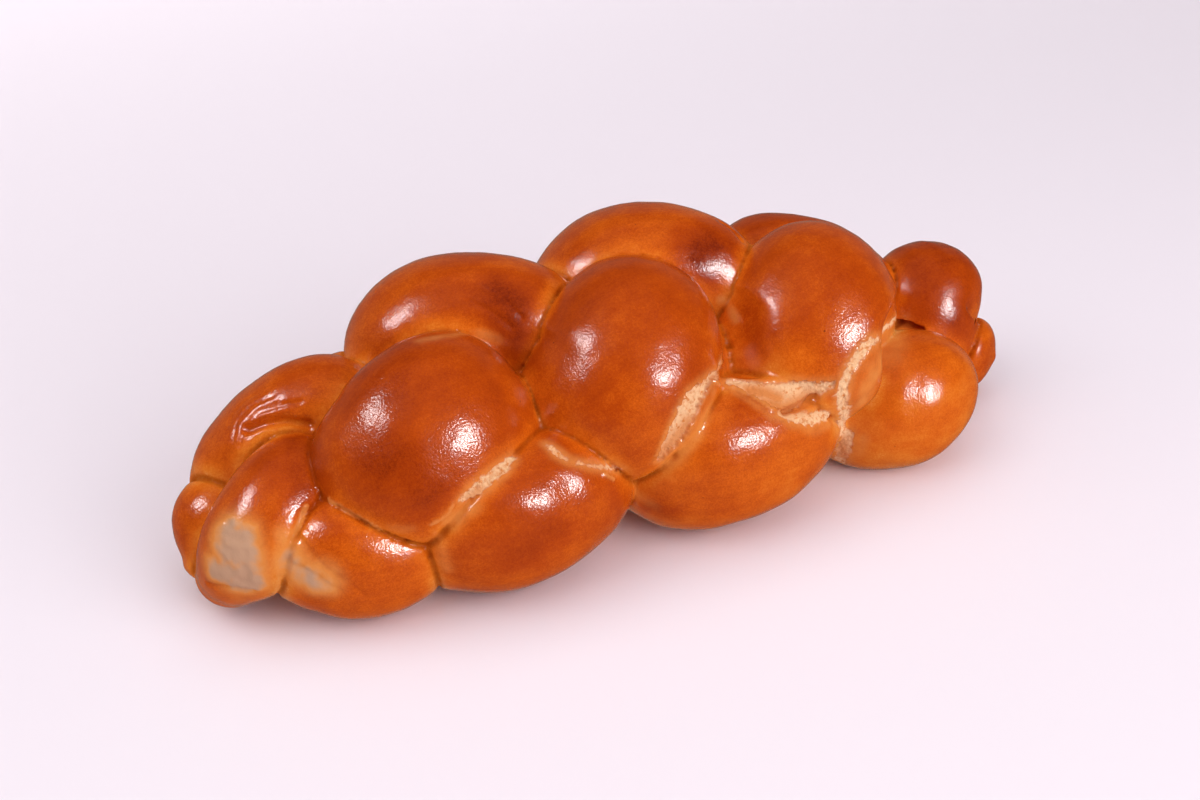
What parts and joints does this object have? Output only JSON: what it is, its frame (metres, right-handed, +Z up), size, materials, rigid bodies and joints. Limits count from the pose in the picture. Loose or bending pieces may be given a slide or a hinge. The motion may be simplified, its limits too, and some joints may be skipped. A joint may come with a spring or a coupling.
{
  "type": "braided loaf",
  "caption": "Braided sweet loaf: plump glazed dough lobes that roll round each other, torn pale seams, flat underside.",
  "frame": {"origin": "middle of the underside, at the centre of the loaf's length and width", "axes": "+X along the loaf, from the end with the pale patch to the other end; +Z up from the tray; the shown side faces -Y"},
  "size_m": [0.34, 0.128, 0.0988],
  "materials": {
    "crust": "egg-washed orange-brown crust, glossy, with matt pale crumb in the torn seams and a pale floury patch at one end"
  },
  "bodies": {
    "root": {"kalacs": "crust"}
  },
  "joints": []
}
